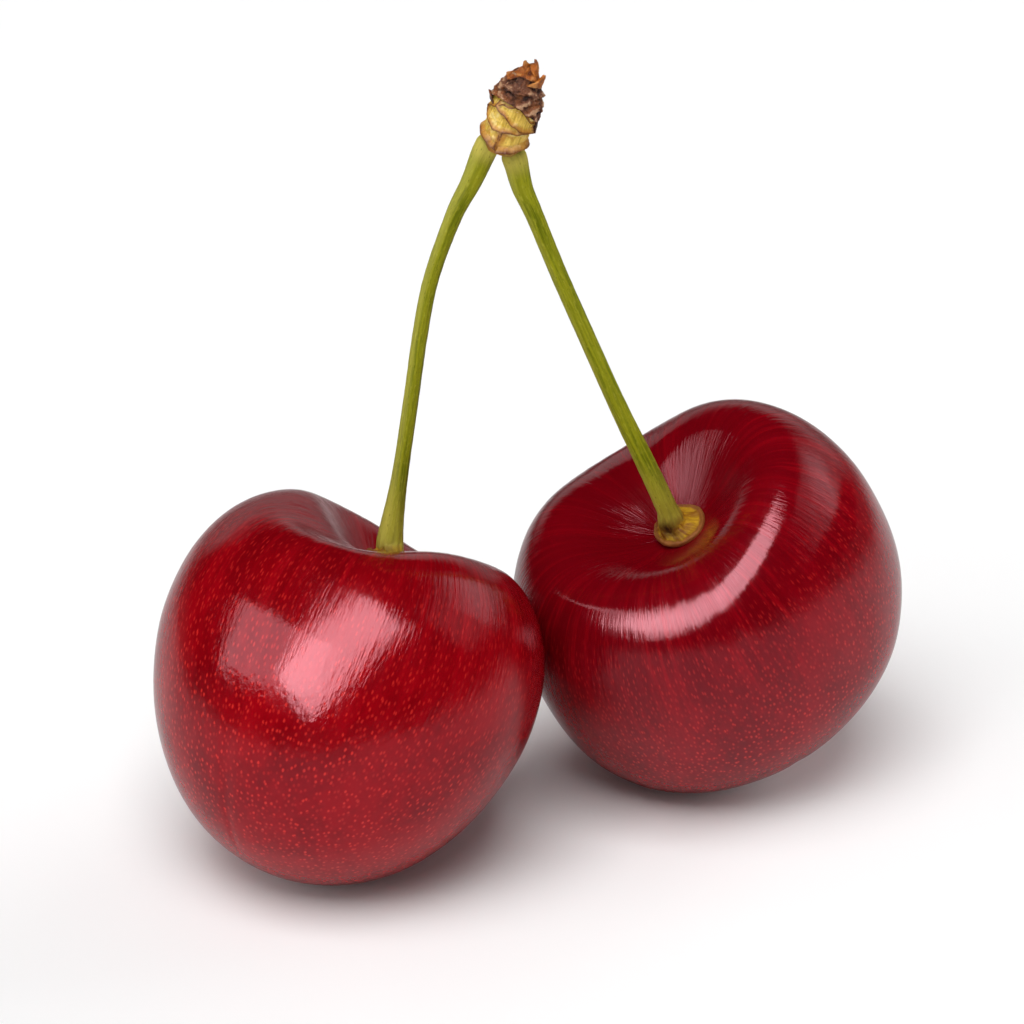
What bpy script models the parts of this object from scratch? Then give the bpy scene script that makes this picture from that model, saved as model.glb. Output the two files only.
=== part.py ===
"""A pair of ripe sweet cherries on their stalks, joined at the top by a short leafy spur.

Both fruits rest on their undersides and lean on each other. A stalk rises from the hollow in
the top of each, and the two stalks end side by side under the spur: a stub of green wood
wrapped in papery bracts and capped with dry bud scales. Every length below is in millimetres
and every angle in degrees. Meshes and curves are made in metres, +Z up, with the origin on
the resting surface below the middle of the pair.
"""
import math

import bmesh
import bpy
from mathutils import Euler, Vector

MM = 0.001
COLLECTION = "cherries_on_stalks"

# The two fruits. Width is across the cheeks, depth from the seam to the back, height along
# the stalk. The crest is the rounded shoulder round the hollow, given by the sine of its
# polar angle. The seam dips the crest in front, the back dips it less.
FRUIT_TURNS = 36
FRUIT_RINGS = 26
SEAM_SIDE = -90.0
FLOOR_STEEPNESS = 2.6
LEFT_FRUIT = {
    "name": "cherry_left",
    "centre": (-13.56, -6.08, 13.39),
    "tilt": (-29.0, 22.7, -29.2),
    "width": 27.4,
    "depth": 25.3,
    "height": 28.1,
    "shoulder_gain": 0.12,
    "end_gain": 0.07,
    "hollow_depth": 5.65,
    "hollow_spread": 0.36,
    "crest": 0.51,
    "seam_dip": 3.55,
    "back_dip": 1.47,
    "dip_spread": 0.53,
    "crest_lift": 0.0,
    "lift_side": 0.0,
    "tip_shift": (0.19, 0.26),
    "color": (0.36, 0.006, 0.02, 1.0),
}
RIGHT_FRUIT = {
    "name": "cherry_right",
    "centre": (12.89, 5.43, 13.95),
    "tilt": (20.7, -22.9, 20.9),
    "width": 28.0,
    "depth": 25.2,
    "height": 25.3,
    "shoulder_gain": 0.0,
    "end_gain": 0.32,
    "hollow_depth": 5.0,
    "hollow_spread": 0.40,
    "crest": 0.65,
    "seam_dip": 0.97,
    "back_dip": 2.8,
    "dip_spread": 0.355,
    "crest_lift": 0.78,
    "lift_side": 62.0,
    "tip_shift": (-1.03, 0.78),
    "color": (0.33, 0.005, 0.018, 1.0),
}

# Each stalk ends in a round disc that sits in the fruit's hollow. The disc's sections are
# its height above the foot, along the fruit's axis, and its radius there.
STALK_SIDES = 3
DISC_SECTIONS = ((0.0, 1.15), (0.2, 1.7), (0.4, 1.9), (0.6, 1.85), (0.75, 1.35), (1.0, 1.0))
SWELL_POWER = 1.7
STEPS_PER_LEG = 3
LEFT_STALK = {
    "name": "stalk_left",
    "foot": (-10.45, -2.25, 20.75),
    "axis": (0.387, 0.446, 0.807),
    "way": ((-10.0, -1.3, 22.7), (-9.3, -0.4, 27.0), (-8.5, 0.2, 32.5), (-7.8, 0.5, 37.5),
            (-7.0, 0.6, 41.5), (-5.5, 0.6, 45.9), (-4.3, 0.6, 48.4), (-3.35, 0.55, 50.75)),
    "waist": 0.53,
    "top_radius": 0.87,
    "top_reach": 4.8,
    "foot_radius": 0.95,
    "foot_reach": 3.4,
}
RIGHT_STALK = {
    "name": "stalk_right",
    "foot": (10.05, 2.85, 21.0),
    "axis": (-0.39, -0.325, 0.861),
    "way": ((9.35, 2.2, 22.9), (7.95, 1.7, 26.35), (5.75, 1.1, 31.5), (3.75, 0.85, 36.4),
            (1.8, 0.65, 41.2), (0.0, 0.6, 45.9), (-0.85, 0.55, 48.0), (-1.25, 0.55, 50.05)),
    "waist": 0.58,
    "top_radius": 0.88,
    "top_reach": 3.6,
    "foot_radius": 0.75,
    "foot_reach": 9.0,
}
STALK_COLOR = (0.36, 0.38, 0.055, 1.0)

# The spur stands on the stalks' tops and leans to the right. Its sizes are in its own frame:
# height along the spur, and a turn round it from the front, positive to the right. It is an
# oval in plan, because it covers two stalks side by side.
SPUR_BASE = (-2.3, 0.5, 50.8)
SPUR_LEAN = 18.7
SPUR_OVAL = 0.85
SPUR_SECTIONS = ((0.0, 1.1), (0.5, 1.15), (1.8, 1.12), (3.0, 1.15), (4.2, 1.0), (4.7, 0.75))
SPUR_SIDES = 4
SPUR_COLOR = (0.52, 0.46, 0.11, 1.0)
BRACT_THICKNESS = 0.12
BRACT_COLUMNS = 8
BRACT_ROWS = 3
SHEATH_COLOR = (0.62, 0.43, 0.14, 1.0)
BROWN_COLOR = (0.13, 0.055, 0.035, 1.0)
ORANGE_COLOR = (0.50, 0.15, 0.025, 1.0)

# name, turn, span, low, high, radius below, radius above, width kept below, kept above, colour
BRACTS = (
    ("sheath_lower_left", -48.0, 92.0, 0.05, 1.75, 1.36, 1.30, 0.75, 1.0, SHEATH_COLOR),
    ("sheath_lower_right", 52.0, 100.0, 0.0, 1.70, 1.38, 1.30, 1.0, 1.0, SHEATH_COLOR),
    ("sheath_back", 180.0, 145.0, 0.05, 2.55, 1.36, 1.30, 1.0, 1.0, SHEATH_COLOR),
    ("sheath_middle_left", -45.0, 96.0, 1.15, 2.55, 1.52, 1.48, 0.45, 1.0, SHEATH_COLOR),
    ("sheath_middle_right", 55.0, 96.0, 1.35, 2.60, 1.54, 1.50, 0.6, 1.0, SHEATH_COLOR),
    ("flap_left", -92.0, 34.0, 3.35, 4.15, 1.72, 1.98, 1.0, 0.25, BROWN_COLOR),
    ("flap_right", 100.0, 40.0, 1.70, 2.60, 1.86, 1.68, 0.25, 1.0, BROWN_COLOR),
    ("bud_tip_tall", 20.0, 150.0, 4.95, 6.65, 0.92, 0.50, 1.0, 0.25, ORANGE_COLOR),
    ("bud_tip_small", 75.0, 62.0, 4.80, 5.65, 1.22, 1.32, 1.0, 0.3, ORANGE_COLOR),
)

# name, sections of height and outer radius, depth of the lower edge's waves, colour
BANDS = (
    ("sheath_collar", ((2.68, 1.42), (3.0, 1.45), (3.35, 1.40)), 0.0, SHEATH_COLOR),
    ("bud_scale_lower", ((3.15, 1.64), (3.5, 1.63), (3.9, 1.52)), 0.22, BROWN_COLOR),
    ("bud_scale_upper", ((4.05, 1.72), (4.4, 1.62), (4.8, 1.12)), 0.16, BROWN_COLOR),
)
BAND_SIDES = 20
WAVES = 5


def clear_objects():
    for thing in list(bpy.data.objects):
        bpy.data.objects.remove(thing)


def make_collection():
    group = bpy.data.collections.new(COLLECTION)
    bpy.context.scene.collection.children.link(group)
    return group


def make_material(name, color, roughness):
    material = bpy.data.materials.new(name)
    material.use_nodes = True
    shader = material.node_tree.nodes["Principled BSDF"]
    shader.inputs["Base Color"].default_value = color
    shader.inputs["Roughness"].default_value = roughness
    shader.inputs["Metallic"].default_value = 0.0
    return material


def add_object(group, name, data, color, roughness):
    thing = bpy.data.objects.new(name, data)
    thing.data.materials.append(make_material(name, color, roughness))
    group.objects.link(thing)
    return thing


def metres(point):
    return Vector(point) * MM


# Fruits


def near(angle, middle, spread):
    """1 where the angle is at the middle, falling smoothly to 0 away from it."""
    return math.exp(-(1.0 - math.cos(angle - middle)) / spread ** 2)


def skin_point(fruit, polar, turn):
    """A point of the skin, in millimetres, about the fruit's centre and along its own axis."""
    out = math.sin(polar)
    up = math.cos(polar)
    top = ((1.0 + up) / 2.0) ** 3
    low = (1.0 - up) ** 2 / 4.0
    seam = math.radians(SEAM_SIDE)
    radius = out * (1.0 + fruit["shoulder_gain"] * up + fruit["end_gain"] * up * up)
    ring = (out / fruit["crest"]) ** 2
    crest = top * ring * ring * math.exp(2.0 - 2.0 * ring)
    hollow = top * math.exp(-((out / fruit["hollow_spread"]) ** FLOOR_STEEPNESS))
    dip = fruit["seam_dip"] * near(turn, seam, fruit["dip_spread"])
    dip += fruit["back_dip"] * near(turn, seam + math.pi, fruit["dip_spread"])
    lift = fruit["crest_lift"] * math.cos(turn - math.radians(fruit["lift_side"]))
    x = fruit["width"] / 2.0 * radius * math.cos(turn) + fruit["tip_shift"][0] * low
    y = fruit["depth"] / 2.0 * radius * math.sin(turn) + fruit["tip_shift"][1] * low
    z = fruit["height"] / 2.0 * up - fruit["hollow_depth"] * hollow + crest * (lift - dip)
    return Vector((x, y, z))


def flatten_underside(bm, tilt, height):
    """Cut the solid off at the surface that it rests on, and close it with one flat face."""
    down = tilt.to_matrix().inverted() @ Vector((0.0, 0.0, -1.0))
    geometry = bm.verts[:] + bm.edges[:] + bm.faces[:]
    cut = bmesh.ops.bisect_plane(
        bm, geom=geometry, plane_co=down * height, plane_no=down, clear_outer=True)
    rim = [part for part in cut["geom_cut"] if isinstance(part, bmesh.types.BMEdge)]
    bmesh.ops.edgeloop_fill(bm, edges=rim)


def make_fruit(group, fruit):
    bm = bmesh.new()
    bmesh.ops.create_uvsphere(bm, u_segments=FRUIT_TURNS, v_segments=FRUIT_RINGS, radius=1.0)
    for vert in bm.verts:
        polar = math.acos(max(-1.0, min(1.0, vert.co.z)))
        turn = math.atan2(vert.co.y, vert.co.x)
        vert.co = skin_point(fruit, polar, turn) * MM
    tilt = Euler([math.radians(angle) for angle in fruit["tilt"]], "ZYX")
    flatten_underside(bm, tilt, fruit["centre"][2] * MM)
    bmesh.ops.recalc_face_normals(bm, faces=bm.faces)
    mesh = bpy.data.meshes.new(fruit["name"])
    bm.to_mesh(mesh)
    bm.free()
    mesh.shade_smooth()
    cherry = add_object(group, fruit["name"], mesh, fruit["color"], 0.18)
    cherry.rotation_mode = "ZYX"
    cherry.rotation_euler = tilt
    cherry.location = metres(fruit["centre"])
    return cherry


# Stalks


def smooth_route(points, steps):
    """Points on a Catmull-Rom curve that starts at points[1] and ends at the last one."""
    route = points + [points[-1] * 2.0 - points[-2]]
    result = [route[1]]
    for index in range(1, len(route) - 2):
        before, start, end, after = route[index - 1:index + 3]
        for step in range(1, steps + 1):
            part = step / steps
            bend = (before * 2.0 - start * 5.0 + end * 4.0 - after) * part ** 2
            twist = (start * 3.0 - before - end * 3.0 + after) * part ** 3
            result.append((start * 2.0 + (end - before) * part + bend + twist) / 2.0)
    return result


def stalk_radius(stalk, from_foot, to_top):
    foot = math.exp(-((from_foot / stalk["foot_reach"]) ** SWELL_POWER))
    top = math.exp(-((to_top / stalk["top_reach"]) ** SWELL_POWER))
    radius = stalk["waist"] + (stalk["foot_radius"] - stalk["waist"]) * foot
    return radius + (stalk["top_radius"] - stalk["waist"]) * top


def stalk_sections(stalk):
    """Centres and radii from the underside of the disc to the top of the stalk."""
    foot = Vector(stalk["foot"])
    axis = Vector(stalk["axis"]).normalized()
    sections = [(foot + axis * rise, radius) for rise, radius in DISC_SECTIONS]
    neck = sections[-1][0]
    route = smooth_route([foot, neck] + [Vector(point) for point in stalk["way"]], STEPS_PER_LEG)
    legs = [(end - start).length for start, end in zip(route, route[1:])]
    for index in range(1, len(route)):
        radius = stalk_radius(stalk, sum(legs[:index]), sum(legs[index:]))
        sections.append((route[index], radius))
    return sections


def make_tube(group, name, sections, sides, color):
    """A closed round bar: a poly curve through the section centres with a radius at each."""
    curve = bpy.data.curves.new(name, "CURVE")
    curve.dimensions = "3D"
    curve.bevel_depth = MM
    curve.bevel_resolution = sides
    curve.use_fill_caps = True
    spline = curve.splines.new("POLY")
    spline.points.add(len(sections) - 1)
    for point, (centre, radius) in zip(spline.points, sections):
        point.co = (*metres(centre), 1.0)
        point.radius = radius
    return add_object(group, name, curve, color, 0.5)


# Spur


def make_spur_frame(group):
    frame = bpy.data.objects.new("spur_frame", None)
    frame.empty_display_size = 0.003
    frame.location = metres(SPUR_BASE)
    frame.rotation_euler = (0.0, math.radians(SPUR_LEAN), 0.0)
    group.objects.link(frame)
    return frame


def make_spur_body(group, frame):
    sections = [((0.0, 0.0, height), radius) for height, radius in SPUR_SECTIONS]
    body = make_tube(group, "spur_body", sections, SPUR_SIDES, SPUR_COLOR)
    body.scale = (1.0, SPUR_OVAL, 1.0)
    body.parent = frame


def spur_point(turn, radius, height):
    return metres((radius * math.sin(turn), -radius * SPUR_OVAL * math.cos(turn), height))


def add_thickness(thing):
    solidify = thing.modifiers.new("thickness", "SOLIDIFY")
    solidify.thickness = BRACT_THICKNESS * MM
    solidify.offset = -1.0


def make_bract(group, frame, bract):
    """A papery scale that wraps part of the way round the spur."""
    name, turn, span, low, high, radius_low, radius_high, keep_low, keep_high, color = bract
    bm = bmesh.new()
    bmesh.ops.create_grid(bm, x_segments=BRACT_COLUMNS, y_segments=BRACT_ROWS, size=1.0)
    for vert in bm.verts:
        part = (vert.co.y + 1.0) / 2.0
        keep = keep_low + (keep_high - keep_low) * part
        angle = math.radians(turn + vert.co.x * span / 2.0 * keep)
        radius = radius_low + (radius_high - radius_low) * part
        vert.co = spur_point(angle, radius, low + (high - low) * part)
    mesh = bpy.data.meshes.new(name)
    bm.to_mesh(mesh)
    bm.free()
    scale = add_object(group, name, mesh, color, 0.6)
    scale.parent = frame
    add_thickness(scale)


def make_band(group, frame, band):
    """A scale that closes round the spur, with a wavy lower edge."""
    name, sections, wave, color = band
    bm = bmesh.new()
    bmesh.ops.create_cone(
        bm, segments=BAND_SIDES, radius1=1.0, radius2=1.0, depth=2.0, cap_ends=False)
    bmesh.ops.subdivide_edges(
        bm, edges=[edge for edge in bm.edges if abs(edge.calc_length() - 2.0) < 0.01], cuts=1)
    for vert in bm.verts:
        row = round(vert.co.z + 1.0)
        height, radius = sections[row]
        turn = math.atan2(vert.co.x, -vert.co.y)
        ripple = wave * math.sin(WAVES * turn) * (2 - row) / 2.0
        vert.co = spur_point(turn, radius, height + ripple)
    mesh = bpy.data.meshes.new(name)
    bm.to_mesh(mesh)
    bm.free()
    scale = add_object(group, name, mesh, color, 0.6)
    scale.parent = frame
    add_thickness(scale)


def build():
    clear_objects()
    group = make_collection()
    for fruit in (LEFT_FRUIT, RIGHT_FRUIT):
        make_fruit(group, fruit)
    for stalk in (LEFT_STALK, RIGHT_STALK):
        make_tube(group, stalk["name"], stalk_sections(stalk), STALK_SIDES, STALK_COLOR)
    frame = make_spur_frame(group)
    make_spur_body(group, frame)
    for bract in BRACTS:
        make_bract(group, frame, bract)
    for band in BANDS:
        make_band(group, frame, band)


build()
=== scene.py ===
"""Looks for the cherries on stalks: fine skins, stalks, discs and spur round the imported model.

The object's lengths are in millimetres until a mesh is made. The depths in the materials, the
floor, the lights and the camera are in metres. Angles in the tables are in degrees.
"""
import math

import bpy
import numpy as np
from mathutils import Euler, Matrix, Vector, noise


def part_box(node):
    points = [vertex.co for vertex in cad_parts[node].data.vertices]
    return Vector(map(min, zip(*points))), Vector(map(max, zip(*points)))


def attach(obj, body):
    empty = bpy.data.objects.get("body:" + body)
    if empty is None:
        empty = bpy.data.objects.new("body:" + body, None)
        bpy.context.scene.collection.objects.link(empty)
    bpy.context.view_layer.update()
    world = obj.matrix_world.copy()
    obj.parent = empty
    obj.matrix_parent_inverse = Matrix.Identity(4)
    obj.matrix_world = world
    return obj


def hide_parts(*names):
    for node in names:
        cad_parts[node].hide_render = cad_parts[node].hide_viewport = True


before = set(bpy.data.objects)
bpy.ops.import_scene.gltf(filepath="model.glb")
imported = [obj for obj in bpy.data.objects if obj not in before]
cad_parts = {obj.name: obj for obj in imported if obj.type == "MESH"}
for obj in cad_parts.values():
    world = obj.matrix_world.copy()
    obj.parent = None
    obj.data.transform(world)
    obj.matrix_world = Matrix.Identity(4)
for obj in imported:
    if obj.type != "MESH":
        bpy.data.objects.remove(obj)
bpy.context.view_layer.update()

MM = 0.001
TAU = 2.0 * math.pi
BODY = "root"

# Fruits: the shape of the solids made fine. The right one has a rounder, higher rim. POLE_GAP,
# in radians, keeps the rings off the poles.
FRUIT_ROWS = 220
FRUIT_COLUMNS = 400
POLE_GAP = 0.012
SEAM = math.radians(-90.0)
LEFT_FRUIT = {
    "name": "cherry_left", "tilt": (-29.0, 22.7, -29.2), "sink": 0.14,
    "width": 27.4, "depth": 25.3, "height": 28.1,
    "shoulder_gain": 0.12, "end_gain": 0.07,
    "hollow_depth": 5.65, "hollow_spread": 0.36, "steepness": 2.6,
    "crest": 0.51, "crest_gain": 0.0, "seam_dip": 3.55, "back_dip": 1.47, "dip_spread": 0.53,
    "crest_lift": 0.0, "lift_side": 0.0, "tip_shift": (0.19, 0.26), "seed": 3.0,
}
RIGHT_FRUIT = {
    "name": "cherry_right", "tilt": (20.7, -22.9, 20.9), "sink": 0.11,
    "width": 28.0, "depth": 25.2, "height": 25.3,
    "shoulder_gain": 0.0, "end_gain": 0.30,
    "hollow_depth": 5.0, "hollow_spread": 0.36, "steepness": 2.2,
    "crest": 0.60, "crest_gain": 1.2, "seam_dip": 1.51, "back_dip": 3.3, "dip_spread": 0.42,
    "crest_lift": 0.55, "lift_side": 6.0, "tip_shift": (-1.03, 0.78), "seed": 11.0,
}

# Relief of the skin. The seam's and the scar's widths are angles in radians. The shoulder and
# the seam fade in and out between shares of the greatest distance from the axis.
SHOULDER_STARTS = (0.10, 0.25)
SHOULDER_ENDS = (0.75, 1.0)
SEAM_STARTS = (0.25, 0.5)
SWELL_HEIGHT = 0.07
SWELL_SIZE = 7.0
WRINKLE_HEIGHT = 0.012
WRINKLE_CLOSENESS = 1.6
SEAM_DEPTH = 0.05
SEAM_WIDTH = 0.035
SCAR_DEPTH = 0.25
SCAR_WIDTH = 0.045
SCAR_STAIN = 0.05

# Maps for the skin's pattern: a flat one round the tip for dots, and one that runs to the stalk.
DOTS_RADIUS = 13.3
STREAKS_ROUND = 9.0
STREAKS_DOWN = 3.0

# Stalks: the solids' routes and thicknesses, but the tops run on into the sheaths.
STALK_COLUMNS = 56
STALK_STEP = 0.08
ROUTE_STEPS = 12
SWELL_POWER = 1.7
NECK_LENGTH = 1.2
END_LENGTH = 0.9
END_SHARE = 0.01
# The direction of the left lights. The stalk gets painted highlight on the side facing it and
# painted shade on the side away.
PAINTED_LIGHT_FROM = (-0.86, -0.30, 0.41)
LEFT_STALK = {
    "name": "stalk_left",
    "foot": (-10.45, -2.25, 20.75),
    "axis": (0.387, 0.446, 0.807),
    "way": ((-10.0, -1.3, 22.7), (-9.3, -0.4, 27.0), (-8.5, 0.2, 32.5), (-7.8, 0.5, 37.5),
            (-7.0, 0.6, 41.5), (-5.5, 0.6, 45.9), (-4.3, 0.6, 48.4), (-3.35, 0.55, 50.75),
            (-2.75, 0.5, 51.8)),
    "waist": 0.53, "top_radius": 0.87, "top_reach": 4.8, "foot_radius": 0.95,
    "foot_reach": 3.4, "seed": 5.0, "bruise": 0.4,
}
RIGHT_STALK = {
    "name": "stalk_right",
    "foot": (10.05, 2.85, 21.0),
    "axis": (-0.39, -0.325, 0.861),
    "way": ((9.35, 2.2, 22.9), (7.95, 1.7, 26.35), (5.75, 1.1, 31.5), (3.75, 0.85, 36.4),
            (1.8, 0.65, 41.2), (0.0, 0.6, 45.9), (-0.85, 0.55, 48.0), (-1.35, 0.55, 50.05),
            (-1.75, 0.5, 51.0)),
    "waist": 0.58, "top_radius": 0.88, "top_reach": 3.6, "foot_radius": 0.75,
    "foot_reach": 9.0, "seed": 8.0, "bruise": 1.0,
}

# Disc: height above the foot and radius of its outline, up to the neck that leaves it.
DISC_PROFILE = ((-0.30, 0.0), (-0.30, 1.0), (-0.16, 1.55), (0.05, 1.80), (0.22, 1.90),
                (0.40, 1.90), (0.52, 1.84), (0.55, 1.72), (0.48, 1.60), (0.47, 1.40),
                (0.56, 1.18), (0.75, 1.00), (1.0, 0.92))
NECK_HEIGHT, NECK_RADIUS = DISC_PROFILE[-1]
# Points of the outline between which its top side begins, and between which the neck does.
TOP_SIDE_FROM, TOP_SIDE_FULL = 5, 7
NECK_FROM, NECK_FULL = 8, 11
DISC_RINGS = 70
DISC_CENTRE_RADIUS = 0.02
DISC_SHIFT = 0.35

# Relief of the stalk and its disc. Ridges and bumps are shares of the radius. Lumps and roots
# reach that far up the stalk. Roots end and the rim's wave starts between two disc radii.
RIDGE_SHARE = 0.035
RIDGE_CLOSENESS = (3.2, 3.2, 0.10)
BUMP_SHARE = 0.02
BUMP_CLOSENESS = (2.0, 2.0, 1.4)
LUMP_HEIGHT = 0.15
LUMP_SIZE = 0.42
LUMPS_REACH = 0.8
ROOT_HEIGHT = 0.13
ROOT_CLOSENESS = 2.6
ROOTS_REACH = 2.2
ROOT_ENDS = (1.6, 1.2)
WAVE_HEIGHT = 0.10
WAVE_CLOSENESS = 0.6 * ROOT_CLOSENESS
WAVE_STARTS = (1.45, 1.8)

# Bruise: where it is round the neck and how far it spreads there, in radians, how far it
# reaches up the stalk, and the disc's radius where it ends.
BRUISE_TURN = math.radians(66.0)
BRUISE_SPREAD = 0.80
BRUISE_HEIGHT = 0.60
BRUISE_EDGE = 1.62

# Spur: a place on it is a height along it and a turn round it from the front, positive to the
# right.
SPUR_LEAN = math.radians(18.7)
SPUR_OVAL = 0.85
SPUR_RADIUS = 1.5
SPUR_BODY_HEIGHT = 4.7
SPUR_BODY_SINK = 0.1
SPUR_BODY_SEED = 21.0
SPUR_BODY_ROWS = 60
SPUR_BODY_COLUMNS = 72
SPUR_BODY_RELIEF = 0.03
SPUR_BODY_RELIEF_SIZE = 0.6
# Points of the body's outline, each a share of its height and a radius.
SPUR_BODY_PROFILE = ((0.0, 0.5), (0.03, 1.2), (0.1, 1.36), (0.8, 1.2), (0.95, 0.9), (1.0, 0.4))
SHELL_RELIEF_SIZE = 0.62

# Open sheaths: lower and upper edge as (turn, height) points, radius below and above, how far
# the lower edge curls out, and how wide its browned rim is. ROW_POWER crowds the rows below.
SHEATH_ROWS = 56
SHEATH_COLUMNS = 96
ROW_POWER = 1.3
SHEATH_FRAY = 0.04
SHEATH_FRAY_SIZE = 0.25
CURL_HEIGHT = 0.24
CREASE_RISE = 0.42
CREASE_WIDTH = 0.12
CREASE_SHARE = 0.3
SHEATHS = (
    {"name": "sheath_back", "seed": 30.0,
     "lower": ((90, 0.8), (180, 0.4), (270, 1.2)),
     "upper": ((90, 3.0), (270, 3.0)),
     "radii": (1.50, 1.42), "curl": 0.05, "browned": 1.5},
    {"name": "sheath_lower_left", "seed": 31.0,
     "lower": ((-108, 1.30), (-92, 1.20), (-57, 0.82), (-12, 0.42)),
     "upper": ((-108, 2.6), (-60, 2.4), (-12, 1.9)),
     "radii": (1.60, 1.50), "curl": 0.16, "browned": 1.6},
    {"name": "sheath_lower_right", "seed": 32.0,
     "lower": ((-20, 0.62), (-10, 0.34), (15, 0.48), (53, 0.92), (88, 1.05), (108, 1.1)),
     "upper": ((-20, 1.9), (108, 2.3)),
     "radii": (1.60, 1.54), "curl": 0.22, "browned": 2.0},
    {"name": "sheath_middle_left", "seed": 33.0,
     "lower": ((-98, 2.85), (-85, 2.60), (-55, 2.02), (-34, 1.72), (10, 1.88), (45, 2.03),
               (70, 2.3)),
     "upper": ((-98, 3.5), (70, 3.5)),
     "radii": (1.66, 1.58), "curl": 0.10, "browned": 1.1},
    {"name": "sheath_middle_right", "seed": 34.0,
     "lower": ((-50, 3.3), (-25, 2.95), (5, 2.42), (26, 2.14), (60, 2.10), (88, 1.95),
               (108, 2.2)),
     "upper": ((-50, 3.8), (108, 3.6)),
     "radii": (1.73, 1.60), "curl": 0.09, "browned": 1.1},
)
SHEATH_SHELL = {"slot": "sheath", "thickness": 0.10, "rough": 0.06, "wrinkle": 1.0}

# Closed scales: edges as (turn, height) points, and (height, radius) points. wrinkle above 1
# turns the unevenness into wrinkles that run round the spur. closes bends the top inwards by
# that share, except where it peaks.
BAND_ROWS = 64
BAND_COLUMNS = 200
LOWER_FRAY = 0.09
LOWER_FRAY_CLOSENESS = 3.6
UPPER_FRAY = 0.05
UPPER_FRAY_CLOSENESS = 4.0
LIP_SIZE = 0.10
LIP_HEIGHT = 0.16
CLOSED_BELOW, OPEN_ABOVE = 6.40, 6.75
COLLAR = {
    "name": "sheath_collar", "slot": "sheath", "seed": 41.0,
    "lower": ((-180, 3.0), (-90, 2.85), (-62, 3.12), (-28, 3.60), (4, 3.68), (56, 2.82),
              (90, 2.3), (130, 2.6), (180, 3.0)),
    "upper": ((-180, 4.3), (180, 4.3)),
    "profile": ((2.0, 1.70), (3.5, 1.64), (3.85, 1.50), (4.2, 1.20)),
    "thickness": 0.10, "rough": 0.05, "wrinkle": 1.0, "closes": 0.0,
}
LOWER_SCALE = {
    "name": "bud_scale_lower", "slot": "bud_scale", "seed": 43.0,
    "lower": ((-180, 3.5), (-90, 3.75), (-33, 4.0), (0, 3.85), (30, 3.45), (55, 3.10),
              (90, 3.1), (135, 3.4), (180, 3.5)),
    "upper": ((-180, 5.2), (180, 5.2)),
    "profile": ((2.7, 1.80), (3.6, 1.80), (4.0, 1.72), (4.4, 1.52), (5.2, 1.08)),
    "thickness": 0.16, "rough": 0.20, "wrinkle": 1.5, "closes": 0.0,
}
UPPER_SCALE = {
    "name": "bud_scale_upper", "slot": "bud_scale", "seed": 45.0,
    "lower": ((-180, 4.5), (-75, 4.45), (-25, 4.65), (26, 4.70), (55, 4.62), (110, 4.6),
              (180, 4.5)),
    "upper": ((-180, 5.9), (180, 5.9)),
    "profile": ((4.3, 1.60), (4.8, 1.46), (5.2, 1.22), (5.9, 0.75)),
    "thickness": 0.16, "rough": 0.20, "wrinkle": 1.4, "closes": 0.0,
}
TALL_TIP = {
    "name": "bud_tip_tall", "slot": "bud_tip", "seed": 47.0,
    "lower": ((-180, 5.2), (-110, 4.95), (-60, 5.25), (-20, 5.75), (30, 5.7), (80, 5.5),
              (130, 5.3), (180, 5.2)),
    "upper": ((-180, 6.35), (-120, 6.25), (-62, 6.72), (-25, 6.35), (20, 6.30), (72, 6.95),
              (115, 6.40), (180, 6.35)),
    "profile": ((4.9, 1.28), (5.4, 1.14), (5.85, 0.92), (6.3, 0.62), (6.9, 0.40)),
    "thickness": 0.16, "rough": 0.20, "wrinkle": 1.2, "closes": 0.8,
}

# Small pointed scales: the turns of their middle and of their width, heights and radii below
# and above, and how far the point leans round the spur.
LEAF_ROWS = 36
LEAF_COLUMNS = 36
LEAF_TAPER = 0.88
LEAF_TAPER_POWER = 1.3
LEAF_EDGE = 0.6
SMALL_TIP = {
    "name": "bud_tip_small", "slot": "bud_tip", "seed": 49.0, "middle": 38.0, "span": 62.0,
    "heights": (5.35, 6.15), "radii": (1.32, 1.30), "points_up": True, "lean": 36.0,
    "thickness": 0.20, "rough": 0.08, "wrinkle": 1.0,
}
LEFT_FLAP = {
    "name": "flap_left", "slot": "bud_scale", "seed": 51.0, "middle": -88.0, "span": 52.0,
    "heights": (3.3, 3.9), "radii": (1.74, 2.05), "points_up": True, "lean": -2.0,
    "thickness": 0.16, "rough": 0.05, "wrinkle": 1.0,
}
RIGHT_FLAP = {
    "name": "flap_right", "slot": "bud_scale", "seed": 53.0, "middle": 84.0, "span": 50.0,
    "heights": (2.0, 3.5), "radii": (1.90, 1.80), "points_up": False, "lean": 0.0,
    "thickness": 0.16, "rough": 0.05, "wrinkle": 1.0,
}


# Mesh helpers


def ripple(points, size, seed, octaves=2):
    """Smooth noise between about -1 and 1 at each point, with features of that size."""
    shift = Vector((seed * 17.3, seed * 9.1, seed * 4.7))
    flat = np.asarray(points, float).reshape(-1, 3) / size
    values = [noise.fractal(Vector(point) + shift, 1.0, 2.0, octaves) for point in flat]
    return np.array(values).reshape(np.shape(points)[:-1])


def smoothstep(low, high, value):
    part = np.clip((value - low) / (high - low), 0.0, 1.0)
    return part * part * (3.0 - 2.0 * part)


def bell(value, width):
    """1 at zero, falling smoothly to nothing a few widths away."""
    return np.exp(-((value / width) ** 2))


def unit(vectors):
    return vectors / np.linalg.norm(vectors, axis=-1, keepdims=True)


def full_turn(columns, start=0.0):
    return np.linspace(start, start + TAU, columns, endpoint=False)


def mesh_grid(down, across):
    """Two grids that repeat those values along the rows and along the columns."""
    return np.meshgrid(down, across, indexing="ij")


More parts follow.
